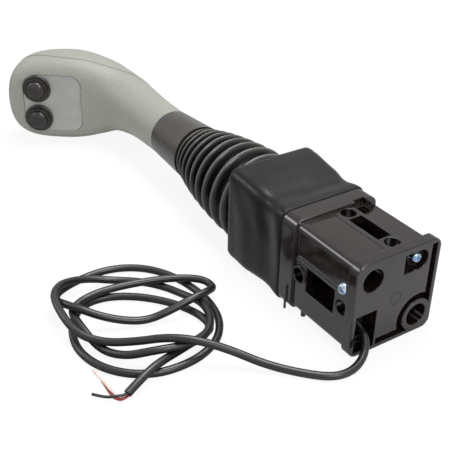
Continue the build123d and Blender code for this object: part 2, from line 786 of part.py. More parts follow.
# Each button: bezel with its barrel, nut behind the panel, switch body, and moving cap
ferrule_top = bezel_height + ferrule_height
cap_floor = ferrule_top - button_travel - stop_gap - cap_engage
for number, (across, up) in enumerate(button_places, start=1):
    axis_plane = Plane(origin=panel_plane.from_local_coords((across, up, 0)),
                       x_dir=panel_plane.x_dir, z_dir=panel_plane.z_dir)
    with BuildPart() as bezel:
        with BuildSketch(axis_plane):
            Circle(bezel_dia / 2)
        extrude(amount=bezel_height)
        fillet(bezel.edges().filter_by(GeomType.CIRCLE), radius=edge_round)
        with BuildSketch(axis_plane):
            Circle(ferrule_dia / 2)
        extrude(amount=ferrule_top)
        with BuildSketch(axis_plane):
            Circle(barrel_dia / 2)
        extrude(amount=-barrel_length)
        with BuildSketch(axis_plane.offset(cap_floor)):
            Circle(cap_dia / 2 + cap_bore_gap)
        extrude(amount=ferrule_top, mode=Mode.SUBTRACT)
        with BuildSketch(axis_plane.offset(-barrel_length)):
            Circle(stem_dia / 2 + run_fit)
        extrude(amount=barrel_length + ferrule_top, mode=Mode.SUBTRACT)
    save(bezel.part, f"button_bezel_{number}")

    with BuildPart() as cap:
        cap_base = cap_floor + button_travel + stop_gap
        with BuildSketch(axis_plane.offset(cap_base)):
            Circle(cap_dia / 2)
        extrude(amount=ferrule_top + cap_rise - cap_base)
        crown = cap.faces().sort_by(lambda face: face.center().dot(axis_plane.z_dir))[-1]
        fillet(crown.edges(), radius=cap_rise - stop_gap)
        with BuildSketch(axis_plane.offset(cap_base)):
            Circle(stem_dia / 2)
        extrude(amount=-(stem_length + cap_base))
    save(cap.part, f"button_cap_{number}")

    with BuildPart() as nut:
        with BuildSketch(axis_plane.offset(-panel_thick)):
            RegularPolygon(nut_across / 2, 6, major_radius=False)
            Circle(barrel_dia / 2 + seat_fit, mode=Mode.SUBTRACT)
        extrude(amount=-nut_thick)
    save(nut.part, f"panel_nut_{number}")

    with BuildPart() as switch_body:
        with BuildSketch(axis_plane.offset(-barrel_length)):
            Rectangle(switch_side, switch_side)
        extrude(amount=-switch_height)
    save(switch_body.part, f"switch_body_{number}")

# Gland in the web behind the window, then the cord out to its coil on the table
gland_back_x = gland_face_x - rib_thick * 2 - panel_gap
with BuildPart() as cord_gland:
    with BuildSketch(cross_plane(gland_face_x)):
        with Locations((gland_y, gland_z)):
            Circle(gland_dia / 2 + rib_thick)
    extrude(amount=panel_gap)
    with BuildSketch(cross_plane(gland_face_x)):
        with Locations((gland_y, gland_z)):
            Circle(gland_dia / 2 - seat_fit)
    extrude(amount=-rib_thick * 2)
    with BuildSketch(cross_plane(gland_face_x - rib_thick * 2)):
        with Locations((gland_y, gland_z)):
            Circle(gland_dia / 2 + rib_thick)
    extrude(amount=-panel_gap)
    with BuildSketch(cross_plane(gland_back_x)):
        with Locations((gland_y, gland_z)):
            Circle(cord_dia / 2 + seat_fit)
    extrude(amount=gland_face_x + panel_gap - gland_back_x, mode=Mode.SUBTRACT)
save(cord_gland.part, "cord_gland")


def on_table(x, y, raised=0.0):
    """Point of the cord's line where the cord lies on the table, or is raised over a crossing."""
    return (x, y, table_height(x) + cord_dia / 2 + stop_gap + raised)


lead_route = [
    (gland_back_x, gland_y, gland_z),
    (-3.0, gland_y, gland_z),
    (5.0, -22.5, -25.3),
    on_table(10.5, -34.5),
    on_table(9.5, -48.0),
    on_table(-3.0, -61.0),
    on_table(-20.0, -73.0),
    on_table(-37.0, -82.5),
    on_table(-53.0, -94.0),
]
tail_route = [
    on_table(-52.6, -108.0, cord_dia),
    on_table(-47.5, -121.5, cord_dia),
    on_table(-43.0, -134.0),
    on_table(-38.5, -147.2),
]


def corner_radii(route):
    """Radius of each corner: a share of the shorter run over the tangent of half the turn."""
    radii = []
    for before, corner, after in zip(route, route[1:], route[2:]):
        first = Vector(*corner) - Vector(*before)
        second = Vector(*after) - Vector(*corner)
        turn = math.radians(first.get_angle(second))
        radii.append(bend_share * min(first.length, second.length) / math.tan(turn / 2))
    return radii


def cord_tube(route, dia, label, meets):
    """Tube of straight runs joined by tangent arcs, ending against the piece it meets."""
    radii = corner_radii(route)
    print(label, "radii", [round(r, 1) for r in radii])
    with BuildPart() as tube:
        with BuildLine() as line:
            FilletPolyline(*route, radius=radii)
        with BuildSketch(Plane(origin=line.line @ 0, z_dir=line.line % 0)):
            Circle(dia / 2)
        sweep()
        swept = math.pi * dia ** 2 / 4 * line.wires()[0].length
        print(label, "volume ratio", round(tube.part.volume / swept, 4))
        if meets:
            add(meets, mode=Mode.SUBTRACT)
    save(tube.part, label)


# Outer shape of the loose coil, lying on the table
table_plane = Plane(
    origin=(coil_x, coil_y, table_height(coil_x)), x_dir=(1, 0, table_slope), z_dir=(-table_slope, 0, 1)
)
with BuildPart() as cord_coil:
    with BuildSketch(table_plane):
        Ellipse(coil_long / 2, coil_short / 2)
        Ellipse(coil_long / 2 - coil_band, coil_short / 2 - coil_band, mode=Mode.SUBTRACT)
    extrude(amount=coil_height)
save(cord_coil.part, "cord_coil")
cord_tube(lead_route, cord_dia, "cord_lead", cord_coil.part)
cord_tube(tail_route, cord_dia, "cord_tail", cord_coil.part)

# The three conductors bared at the cord's end.  Each starts in the cord's end face, runs
# on straight for a moment and then bends over the table.
tail_end = Vector(*tail_route[-1])
tail_way = (tail_end - Vector(*tail_route[-2])).normalized()
tail_side = Vector(0, 0, 1).cross(tail_way).normalized()


def wire_point(x, y, layer):
    """Point of a conductor on the table, or one layer up where it crosses another."""
    return (x, y, table_height(x) + core_wire_dia / 2 + stop_gap + layer * (core_wire_dia + wire_gap))


def wire_start(aside, up):
    """First two points of a conductor, square to the cord's end face."""
    first = tail_end + tail_side * aside + Vector(0, 0, up)
    second = first + tail_way * wire_lead
    return [tuple(first), tuple(second)]


red_route = wire_start(0.7, -1.0) + [
    wire_point(-37.9, -154.0, 0), wire_point(-44.0, -155.6, 0), wire_point(-53.0, -155.4, 0)
]
white_route = wire_start(-1.1, 0.1) + [
    wire_point(-44.0, -153.8, 1), wire_point(-53.5, -156.0, 1), wire_point(-63.5, -157.2, 1)
]
black_route = wire_start(0.3, 1.2) + [
    wire_point(-40.0, -155.0, 1), wire_point(-48.7, -162.2, 0)
]
cord_tube(red_route, core_wire_dia, "red_wire", None)
cord_tube(white_route, core_wire_dia, "white_wire", None)
cord_tube(black_route, core_wire_dia, "black_wire", None)
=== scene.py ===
"""Looks of the control joystick: camera, cord, rubber, moulded plastic, buttons and light.

Everything is built in the CAD frame: the lever runs along X, the flange's mounting face is at
x = 0, and the joystick lies on its side on a table, with Z up.  Sizes below are in millimetres
where no other unit is named.
"""
import math

import bpy
import numpy as np
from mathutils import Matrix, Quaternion, Vector


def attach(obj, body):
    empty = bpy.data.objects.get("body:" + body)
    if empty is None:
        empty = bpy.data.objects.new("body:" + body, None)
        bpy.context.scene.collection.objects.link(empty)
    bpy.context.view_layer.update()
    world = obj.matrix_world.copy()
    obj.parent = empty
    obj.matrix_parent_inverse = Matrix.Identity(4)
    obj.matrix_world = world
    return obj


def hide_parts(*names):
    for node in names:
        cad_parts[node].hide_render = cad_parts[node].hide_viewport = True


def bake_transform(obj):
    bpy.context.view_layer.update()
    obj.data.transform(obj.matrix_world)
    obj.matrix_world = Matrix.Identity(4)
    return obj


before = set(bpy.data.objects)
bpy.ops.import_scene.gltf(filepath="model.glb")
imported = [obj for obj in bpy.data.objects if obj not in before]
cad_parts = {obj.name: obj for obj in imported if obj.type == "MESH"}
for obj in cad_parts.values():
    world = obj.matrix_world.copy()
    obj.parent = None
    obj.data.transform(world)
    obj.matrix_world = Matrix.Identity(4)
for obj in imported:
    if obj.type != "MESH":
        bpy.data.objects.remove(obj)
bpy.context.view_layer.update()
bpy.context.scene.view_settings.view_transform = "Standard"
MM = 0.001

# Camera, at the photograph's viewing angle: place in metres, angles in degrees
camera_place = (0.2719, -0.2963, 0.2851)
camera_azimuth = 56.1
camera_elevation = 31.6
camera_roll = 1.16
camera_lens = 69.6
camera_sensor = 36.0

# Soft boxes: name, place in metres, side in metres and power in watts
lamps = [
    ("overhead_soft_box", (-0.25, 0.25, 1.1), 0.7, 15.0),
    ("left_soft_box", (-0.9, -0.8, 0.7), 0.4, 2.5),
    ("right_soft_box", (0.8, -0.1, 0.7), 0.35, 4.5),
]
lamp_aim = (-0.18, -0.05, 0.0)

# White room: its strength as light, and the share of white that gloss mirrors
room_light = 0.34
sky_gloss = 0.6

# Floor: half its side in metres, its shares of white, where its painted reflection of white, seen
# only in gloss, begins and ends in metres, and its paper tone, straight and as a painted dark reflection
floor_half = 4.0
floor_glow = 0.9
painted_reflection_beside = 0.55
painted_reflection_from_x = (-0.03, 0.03)
painted_reflection_from_y = (-0.1, -0.045)
paper_tone = 0.9
painted_dark_reflection_tone = 0.3
white = (1.0, 1.0, 1.0, 1.0)

# Noise in the materials: its detail, and the part of its range over which tones change
patch_detail = 4.0
grain_detail = 3.0
cloud_detail = 5.0
tone_span = (0.35, 0.65)
grain_span = (0.3, 0.7)
plating_span = (-0.08, 0.12)
bevel_samples = 4

# Parting line of a mould: its tone, the share of it that is fully dark, and its depth in grains
seam_tone = "#0b0a0a"
seam_core = 0.4
seam_depth = 6.0

# Table, which touches the flange's lower edge and the head of the grip
flange_half = 30.5
table_slope = 0.0147

# Cord: its thickness, its length in metres, its gap over the table, and the ends of its line, in
# the air as x, y and z, and on the table as x and y
cord_dia = 4.7
lift = 0.1
gland_back_x = -17.4
gland_spot = -17.2
lead_air = [(gland_back_x, gland_spot, gland_spot), (-3.0, gland_spot, gland_spot), (5.0, -22.5, -25.3)]
lead_table = [(10.5, -34.5), (9.5, -48.0), (-3.0, -61.0), (-18.5, -74.5), (-32.0, -86.5), (-43.5, -100.5)]
tail_table = [(-52.6, -108.0), (-47.5, -121.5), (-43.0, -134.0), (-38.5, -147.2)]

# Turns of the loose coil: centre x and y, half length, half width, turn in degrees, squareness
coil_turns = [
    (-95.0, -114.5, 48.5, 37.0, 30.0, 2.0),
    (-103.5, -100.5, 41.5, 16.5, 75.0, 2.2),
    (-96.0, -112.0, 53.5, 44.5, 6.0, 2.3),
    (-90.5, -107.0, 39.0, 19.5, 38.0, 1.95),
]
coil_approach = [(-55.0, -113.5), (-67.0, -127.0), (-78.0, -141.5), (-91.5, -152.5)]

# Direction of the coil's start in degrees, points per turn, and its stop and joins in turns
coil_start = 240.0
coil_steps = 18
coil_stop = 3.56
coil_joins = (0.9, 1.95, 2.97)
coil_join_width = 0.24

# Which stretch of the coil lies over which, from 1 for the lowest, and where each ends, in turns
stretch_ends = (0.2, 0.9, 2.1, 2.97)
stretch_levels = (5, 3, 4, 1, 2)

# Laying of the cord: distances in cord diameters, then how its points rise until nothing touches
cord_clear = 1.02
cord_apart = 4
line_samples = 6
most_sweeps = 60
touch_limit = 0.02
rise_share = 0.5
least_weight = 0.12
hump_slope = 0.3

# Round lines of the cord and conductors: segments of a quarter round, and steps between points
round_segments = 5
line_steps = 6

# Conductors: x and y, and the height of the middle above the table
conductor_dia = 1.6
red_route = [
    (-39.2, -145.0, 1.6), (-37.9, -147.9, 1.5), (-38.1, -151.7, 0.95), (-42.3, -153.9, 0.9),
    (-47.8, -153.5, 0.9), (-53.6, -153.1, 0.9), (-58.9, -152.6, 0.9),
]
white_route = [
    (-39.6, -145.0, 3.0), (-38.3, -148.4, 3.0), (-39.4, -151.8, 2.0), (-44.6, -152.9, 2.4),
    (-51.0, -153.2, 2.4), (-58.6, -153.2, 2.1), (-66.6, -153.3, 1.2),
]
black_route = [
    (-39.2, -145.0, 3.3), (-37.7, -148.4, 3.6), (-38.6, -152.7, 3.9), (-41.0, -156.7, 3.2),
    (-46.3, -159.3, 1.2), (-50.3, -162.0, 0.9),
]

# Where the boot starts and ends and the sleeve starts, as in the part's source
collar_x = -66.5
boot_front_x = -122.5
sleeve_x = -205.5

# Bellows: the folds and their steps, crests and depths, the walls, the least radius that the rod
# needs inside the first fold, two places along the lever, and the overlap where the two pieces meet
fold_count = 9
fold_growth = 1.11
fold_steps = 28
bellows_sides = 128
first_crest = 32.0
last_crest = 20.5
crest_taper = 1.4
crest_sharpness = 3.4
# sharpness of the painted highlight along each crest
crest_highlight_sharpness = 6
first_depth = 7.4
last_depth = 4.0
bellows_wall = 1.1
rod_room = 24.1
first_bend_x = -114.5
last_bend_x = -178.0
split_overlap = 0.01

# Boot: share of the way from the collar to the front, half side and corner radius
boot_sides = [
    (0.0, 30.9, 5.5), (0.02, 31.2, 5.8), (0.08, 31.1, 6.2), (0.2, 30.3, 6.8), (0.3, 30.4, 7.2),
    (0.45, 31.4, 7.4), (0.65, 32.2, 7.2), (0.93, 32.6, 7.0), (0.975, 32.3, 6.8), (0.995, 31.3, 6.4),
    (1.0, 29.8, 6.0),
]
boot_quarter_steps = 10
boot_long_steps = 70
boot_front_steps = 24
boot_long_end = 0.9
boot_front_start = 0.905
smooth_reach = 4
smooth_margin = 2
mouth_half = 27.0
mouth_shares = (0.25, 0.6, 0.9, 1.0)
mouth_lip = 0.2
boot_wall = 2.6
inside_half = 27.2
inside_corner = 4.0

# Soft shape of the boot: bell curves at a share of its length, a slow ripple and a shift of its front
waist_place = 0.24
waist_width = 0.13
waist_dent = 0.5
swell_place = 0.72
swell_width = 0.22
front_swell = 0.5
soft_ripple = 0.35
ripple_round = 3.1
ripple_along = 9.0
ripple_slow = 7.0
ripple_sway = 1.3
ripple_fade = 0.1
ripple_end = 0.95
boot_shift = 1.7
shift_power = 1.3

# Pan heads of the screws: dome, cross recess and skirt, then name, place and directions of each
head_radius = 3.8
head_height = 4.0
head_sunk = 1.0
head_sides = 96
head_inner_steps = 40
head_rim_steps = 14
head_inner_end = 0.8
head_rim_start = 0.82
dome_power = 3.2
recess_depth = 1.4
recess_half = 0.62
recess_slope = 0.25
recess_reach = 2.3
recess_end_slope = 0.5
screw_heads = [
    ("face_screw_head", (-5.0, 15.0, 20.3), (0, 1, 0), (0, 0, 1), (1, 0, 0)),
    ("near_screw_head", (-10.82, -27.85, 11.0), (1, 0, 0), (0, 0, 1), (0, -1, 0)),
]

# Button caps: shape, direction of the button's axis and, by number, the place on the panel
cap_half = 7.0
cap_base = 3.1
cap_edge = 0.4
cap_shoulder = 4.9
cap_dome = 2.7
cap_power = 0.8
cap_sides = 64
cap_steps = 14
button_out = np.array([0.7967, -0.6044, 0.0])
button_across = np.array([0.6044, 0.7967, 0.0])
button_up = np.array([0.0, 0.0, 1.0])
button_places = {1: (-348.74, -62.51, 12.5), 2: (-348.74, -62.51, -12.5)}


def srgb(code):
    """Linear colour of an sRGB hex code."""
    parts = [int(code[i:i + 2], 16) / 255 for i in (1, 3, 5)]
    return [c / 12.92 if c <= 0.04045 else ((c + 0.055) / 1.055) ** 2.4 for c in parts] + [1.0]


def add_node(owner, kind, values=None, links=None, **settings):
    """Add one node to a material or world, fill its sockets with values and feed them by links."""
    tree = owner.node_tree
    made = tree.nodes.new(kind)
    for name, setting in settings.items():
        setattr(made, name, setting)
    for socket, value in (values or {}).items():
        made.inputs[socket].default_value = value
    for socket, source in (links or {}).items():
        tree.links.new(source, made.inputs[socket])
    return made


def maths(owner, operation, first, second=None):
    """Socket with the operation done on one or two other sockets."""
    links = {0: first} if second is None else {0: first, 1: second}
    return add_node(owner, "ShaderNodeMath", links=links, operation=operation).outputs[0]


def scaled(owner, source, factor):
    """Socket with another socket's value times a number."""
    return add_node(owner, "ShaderNodeMath", {1: factor}, {0: source}, operation="MULTIPLY").outputs[0]


def ranged(owner, source, start=(0.0, 1.0), end=(0.0, 1.0), **settings):
    """Socket with another socket's value carried from one range to the other and kept within it."""
    values = {"From Min": start[0], "From Max": start[1], "To Min": end[0], "To Max": end[1]}
    return add_node(owner, "ShaderNodeMapRange", values, {"Value": source}, **settings).outputs["Result"]


def noise(material, place, size_mm, detail):
    """Socket with a noise whose patches are near size_mm across."""
    values = {"Scale": 1 / (size_mm * MM), "Detail": detail}
    return add_node(material, "ShaderNodeTexNoise", values, {"Vector": place}).outputs["Fac"]


def two_tones(material, factor, light, dark):
    """Socket with a colour that goes from dark to light over the middle of the factor's range."""
    ramp = add_node(material, "ShaderNodeValToRGB", links={"Fac": factor})
    low, high = ramp.color_ramp.elements
    low.position, high.position = tone_span
    low.color = srgb(dark)
    high.color = srgb(light)
    return ramp.outputs["Color"]


def toned(material, factor, colour, tone):
    """Socket with a colour mixed with one fixed tone by the factor."""
    mixed = add_node(
        material, "ShaderNodeMix", {"B": srgb(tone)}, {"Factor": factor, "A": colour}, data_type="RGBA"
    )
    return mixed.outputs["Result"]


def new_material(name):
    """New material with its shader and the socket of the object's own coordinates."""
    material = bpy.data.materials.new(name)
    material.use_nodes = True
    shader = material.node_tree.nodes["Principled BSDF"]
    return material, shader, add_node(material, "ShaderNodeTexCoord").outputs["Object"]


def moulded(name, light, dark, roughness, patch_mm, grain_mm, depth_mm, spread, gloss=0.5, edge_mm=0.0,
            seam_mm=0.0, crest_highlight_tone=None):
    """Moulded plastic or rubber: two close colours in patches, and a fine grain of some depth.

    Edges of the moulding catch the light over edge_mm, and seam_mm draws the mould's parting
    line where the piece's own height is nought.  A painted highlight tone comes in where the
    piece's own crest attribute is high.
    """
    material, shader, place = new_material(name)
    tree = material.node_tree
    shader.inputs["Specular IOR Level"].default_value = gloss
    colour = two_tones(material, noise(material, place, patch_mm, patch_detail), light, dark)
    grain = noise(material, place, grain_mm, grain_detail)
    rough = ranged(material, grain, grain_span, (roughness - spread, roughness + spread))
    bump = add_node(material, "ShaderNodeBump", {"Distance": depth_mm * MM}, {"Height": grain})
    if seam_mm:
        axes = add_node(material, "ShaderNodeSeparateXYZ", links={"Vector": place})
        height = maths(material, "ABSOLUTE", axes.outputs["Z"])
        line = ranged(
            material, height, (seam_core * seam_mm * MM, seam_mm * MM), (1.0, 0.0),
            interpolation_type="SMOOTHSTEP"
        )
        groove = add_node(
            material, "ShaderNodeMath", {1: -seam_depth}, {0: line, 2: grain}, operation="MULTIPLY_ADD"
        )
        tree.links.new(groove.outputs[0], bump.inputs["Height"])
        colour = toned(material, line, colour, seam_tone)
    # painted highlight: a pale tone along each crest, taken from the piece's crest attribute
    if crest_highlight_tone:
        crest = add_node(material, "ShaderNodeAttribute", attribute_name="crest")
        colour = toned(material, crest.outputs["Fac"], colour, crest_highlight_tone)
    if edge_mm:
        edge = add_node(material, "ShaderNodeBevel", {"Radius": edge_mm * MM}, samples=bevel_samples)
        tree.links.new(edge.outputs["Normal"], bump.inputs["Normal"])
    tree.links.new(colour, shader.inputs["Base Color"])
    tree.links.new(rough, shader.inputs["Roughness"])
    tree.links.new(bump.outputs["Normal"], shader.inputs["Normal"])
    return material


def plated(name, light, dark, roughness, patch_mm):
    """Bare or plated metal: a cloudy tone and a roughness that follows it."""
    material, shader, place = new_material(name)
    tree = material.node_tree
    shader.inputs["Metallic"].default_value = 1.0
    cloud = noise(material, place, patch_mm, cloud_detail)
    rough = ranged(material, cloud, end=(roughness + plating_span[0], roughness + plating_span[1]))
    tree.links.new(two_tones(material, cloud, light, dark), shader.inputs["Base Color"])
    tree.links.new(rough, shader.inputs["Roughness"])
    return material


def paint(piece, material):
    """Give a CAD node or a new piece its material."""
    piece.data.materials.clear()
    piece.data.materials.append(material)


def surface(name, points, material, round_u=False, round_v=False):
    """Mesh of a grid of points (rows, columns, 3), in metres, closed in either direction."""
    rows, columns = points.shape[:2]
    index = np.arange(rows * columns).reshape(rows, columns)
    if round_u:
        index = np.vstack([index, index[:1]])
    if round_v:
        index = np.hstack([index, index[:, :1]])
    quads = np.stack([index[:-1, :-1], index[:-1, 1:], index[1:, 1:], index[1:, :-1]], axis=-1)
    mesh = bpy.data.meshes.new(name)
    mesh.from_pydata(points.reshape(-1, 3).tolist(), [], quads.reshape(-1, 4).tolist())
    mesh.shade_smooth()
    piece = bpy.data.objects.new(name, mesh)
    bpy.context.scene.collection.objects.link(piece)
    paint(piece, material)
    return piece


def full_turn(steps):
    """Angles once round, in radians."""
    return np.linspace(0, 2 * np.pi, steps, endpoint=False)


def turned(profile, steps):
    """Grid of a profile of (x, radius) pairs carried round the lever's axis."""
    angle = full_turn(steps)
    x = np.repeat(profile[:, :1], steps, axis=1)
    return np.stack([x, profile[:, 1:] * np.cos(angle), profile[:, 1:] * np.sin(angle)], axis=-1)


def run_lengths(points):
    """Length of the line up to each of its points."""
    return np.concatenate([[0], np.cumsum(np.linalg.norm(np.diff(points, axis=0), axis=1))])


def table_height(x):
    """Height of the table under x, in millimetres: a plane that falls away under the grip."""
    return -flange_half + table_slope * x


def make_camera():
    """Camera that looks along azimuth and elevation, then is rolled about its own line of sight."""
    azimuth = math.radians(camera_azimuth)
    elevation = math.radians(camera_elevation)
    ahead = Vector((
        -math.sin(azimuth) * math.cos(elevation), math.cos(azimuth) * math.cos(elevation),
        -math.sin(elevation),
    ))
    data = bpy.data.cameras.new("camera")
    data.lens = camera_lens
    data.sensor_width = camera_sensor
    camera = bpy.data.objects.new("camera", data)
    bpy.context.scene.collection.objects.link(camera)
    camera.location = camera_place
    camera.rotation_mode = "QUATERNION"
    roll = Quaternion((0, 0, 1), math.radians(camera_roll))
    camera.rotation_quaternion = ahead.to_track_quat("-Z", "Y") @ roll
    bpy.context.scene.camera = camera


def coil_line():
    """Loose coil: each turn is a rounded oval, and one turn eases into the next in a short stretch.

    At share s of the way round, in turns, the direction falls by a full circle per turn.  The
    radius is the superellipse's: (|cos/a|^n + |sin/b|^n) to the power -1/n.
    """
    turns = np.array(coil_turns)
    share = np.arange(round(coil_stop * coil_steps) + 1) / coil_steps
    angle = math.radians(coil_start) - share * 2 * np.pi
    at = np.zeros(len(share))
    for join in coil_joins:
        ease = np.clip((share - join) / coil_join_width + 0.5, 0, 1)
        at += ease * ease * (3 - 2 * ease)
    low = np.minimum(at.astype(int), len(turns) - 2)
    shape = turns[low] + (turns[low + 1] - turns[low]) * (at - low)[:, None]
    x, y, half_long, half_wide, turn, square = shape.T
    turn = np.radians(turn)
    own = np.arctan2(half_wide * np.sin(angle - turn), half_long * np.cos(angle - turn))
    reach = np.abs(np.cos(own) / half_long) ** square + np.abs(np.sin(own) / half_wide) ** square
    reach = reach ** (-1 / square)
    spots = np.stack([x + reach * np.cos(own + turn), y + reach * np.sin(own + turn)], -1)
    return spots, np.array(stretch_levels)[np.searchsorted(stretch_ends, share)]


def spline_weights(count, fine):
    """Share of each control point in each sample of the cord's line, a spline of order 3.

    A span runs between the middles of two neighbouring runs, bent by the point between them:
    (1 - t)^2 of its start, 2t(1 - t) of the point and t^2 of its end.  The first span starts
    at the first point, and the last one ends at the last.
    """
    t = np.tile(np.linspace(0, 1, fine, endpoint=False), count - 2)
    middle = np.repeat(np.arange(1, count - 1), fine)
    row = np.arange(len(t))
    start = np.where(middle == 1, 1.0, 0.5)
    end = np.where(middle == count - 2, 1.0, 0.5)
    weights = np.zeros((len(t), count))
    weights[row, middle - 1] = start * (1 - t) ** 2
    weights[row, middle + 1] = end * t ** 2
    weights[row, middle] = 1 - weights[row, middle - 1] - weights[row, middle + 1]
    return weights


def laid(points, levels):
    """Heights of the control points above the table, with the higher levels over the lower ones.

    All lie on the table at first.  Where two stretches of the line are nearer than the cord is
    thick, the points of the upper one rise by a share of what is missing, with gentle flanks on
    both sides, and this is repeated until nothing touches.
    """
    clear = cord_dia * cord_clear
    weights = spline_weights(len(points), line_samples)
    line = weights @ points
    run = run_lengths(line)
    point_run = run_lengths(points)
    rank = levels[weights.argmax(axis=1)] * len(line) + np.arange(len(line))
    apart = np.linalg.norm(line[:, None] - line[None], axis=-1)
    crosses = (apart < clear) & (np.abs(run[:, None] - run[None]) > cord_apart * cord_dia)
    above = crosses & (rank[:, None] > rank[None])
    needed = np.sqrt(np.maximum(clear ** 2 - apart ** 2, 0))
    height = np.full(len(points), cord_dia / 2 + lift)
    for sweep in range(most_sweeps):
        now = weights @ height
        missing = np.where(above, now[None] + needed - now[:, None], 0).max(axis=1)
        if missing.max() < touch_limit:
            break
        height += rise_share * ((weights > least_weight) * missing[:, None]).max(axis=0)
        flanks = height[None] - hump_slope * np.abs(point_run[:, None] - point_run[None])
        height = flanks.max(axis=1)
    return height


def smooth_line(name, points, thick, material):
    """Round line along a spline of order 3, with the points, in millimetres, as its control points."""
    data = bpy.data.curves.new(name, "CURVE")
    data.dimensions = "3D"
    data.bevel_depth = thick / 2 * MM
    data.bevel_resolution = round_segments
    data.use_fill_caps = True
    spline = data.splines.new("NURBS")
    spline.points.add(len(points) - 1)
    spline.points.foreach_set("co", [c for p in points for c in (*(p * MM), 1.0)])
    spline.order_u = 3
    spline.use_endpoint_u = True
    spline.resolution_u = line_steps
    piece = bpy.data.objects.new(name, data)
    bpy.context.scene.collection.objects.link(piece)
    data.materials.append(material)
    return piece


def make_conductors():
    """Three insulated conductors, bared at the cord's end and bent over the table and each other."""
    made = []
    for name, slot, material, route in (
        ("red_conductor", "red_insulation", red_insulation, red_route),
        ("white_conductor", "white_insulation", white_insulation, white_route),
        ("black_conductor", "black_insulation", black_insulation, black_route),
    ):
        points = [Vector((x, y, table_height(x) + h)) for x, y, h in route]
        piece = smooth_line(name, points, conductor_dia, material)
        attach(piece, "housing")
        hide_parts(name.replace("conductor", "wire"))
        made.append(piece)
    return made


def make_cord():
    """One smooth line: out of the gland, over the table, round the coil and on to the cut end."""
    turns, levels = coil_line()
    lead = lead_table + coil_approach
    table = np.vstack([lead, turns, tail_table])
    levels = np.concatenate([
        np.full(len(lead), stretch_levels[0]), levels, np.full(len(tail_table), stretch_levels[-1])
    ])
    height = laid(table, levels)
    points = [Vector(p) for p in lead_air]
    points += [Vector((x, y, table_height(x) + h)) for (x, y), h in zip(table, height)]
    piece = smooth_line("control_cord", points, cord_dia, cord_jacket)
    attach(piece, "housing")
    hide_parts("cord_lead", "cord_coil", "cord_tail")
    make_conductors()


def make_floor():
    """Pale floor in the tilted plane of the table; the camera sees it nearly white, with shadows.

    In gloss only it glows as a painted reflection: white in front of the flange, pale under the
    lever and, as a painted dark reflection, dark further out on the near side, as if a black card lay
    there.
    """
    corners = [
        (x, y, table_height(x / MM) * MM)
        for x, y in (
            (-floor_half, -floor_half), (floor_half, -floor_half), (floor_half, floor_half),
            (-floor_half, floor_half),
        )
    ]
    mesh = bpy.data.meshes.new("table_top")
    mesh.from_pydata(corners, [], [(0, 1, 2, 3)])
    floor = bpy.data.objects.new("table_top", mesh)
    bpy.context.scene.collection.objects.link(floor)
    material = bpy.data.materials.new("white_paper_sweep")
    material.use_nodes = True
    material.node_tree.nodes.clear()
    rays = add_node(material, "ShaderNodeLightPath").outputs
    seen = maths(material, "MAXIMUM", rays["Is Camera Ray"], rays["Is Transmission Ray"])
    place = add_node(material, "ShaderNodeTexCoord").outputs["Object"]
    axes = add_node(material, "ShaderNodeSeparateXYZ", links={"Vector": place})
    # painted reflection: in gloss only, the floor glows white in front of the flange and pale beside the
    # lever
    front = ranged(material, axes.outputs["X"], painted_reflection_from_x)
    beside = ranged(material, axes.outputs["Y"], painted_reflection_from_y, (0.0, painted_reflection_beside))
    either = maths(material, "MAXIMUM", front, beside)
    mirrored = maths(material, "MULTIPLY", rays["Is Glossy Ray"], either)
    share = scaled(material, maths(material, "MAXIMUM", seen, mirrored), floor_glow)
    # painted dark reflection: in gloss the paper shows darker than it is seen straight
    shade = ranged(material, rays["Is Glossy Ray"], end=(paper_tone, painted_dark_reflection_tone))
    paper = add_node(material, "ShaderNodeBsdfDiffuse", links={"Color": shade})
    glow = add_node(material, "ShaderNodeEmission", {"Color": white, "Strength": 1.0})
    mixed = add_node(
        material, "ShaderNodeMixShader", links={"Fac": share, 1: paper.outputs[0], 2: glow.outputs[0]}
    )
    add_node(material, "ShaderNodeOutputMaterial", links={"Surface": mixed.outputs[0]})
    mesh.materials.append(material)


def make_world():
    """White room: white where it is seen straight, paler grey in gloss, and soft grey as light."""
    world = bpy.data.worlds.new("white_room")
    bpy.context.scene.world = world
    world.use_nodes = True
    world.node_tree.nodes.clear()
    rays = add_node(world, "ShaderNodeLightPath").outputs
    mirrored = scaled(world, rays["Is Glossy Ray"], sky_gloss)
    seen = maths(world, "MAXIMUM", rays["Is Camera Ray"], rays["Is Transmission Ray"])
    direct = maths(world, "MAXIMUM", seen, mirrored)
    soft = add_node(world, "ShaderNodeBackground", {"Color": white, "Strength": room_light})
    bright = add_node(world, "ShaderNodeBackground", {"Color": white, "Strength": 1.0})
    mixed = add_node(
        world, "ShaderNodeMixShader", links={"Fac": direct, 1: soft.outputs[0], 2: bright.outputs[0]}
    )
    add_node(world, "ShaderNodeOutputWorld", links={"Surface": mixed.outputs[0]})


def make_lamps():
    """Square soft boxes, each turned to the same spot."""
    for name, place, side, power in lamps:
        data = bpy.data.lights.new(name, "AREA")
        data.shape = "SQUARE"
        data.size = side
        data.energy = power
        lamp = bpy.data.objects.new(name, data)
        bpy.context.scene.collection.objects.link(lamp)
        lamp.location = place
        lamp.rotation_mode = "QUATERNION"
        lamp.rotation_quaternion = (Vector(lamp_aim) - Vector(place)).to_track_quat("-Z", "Y")


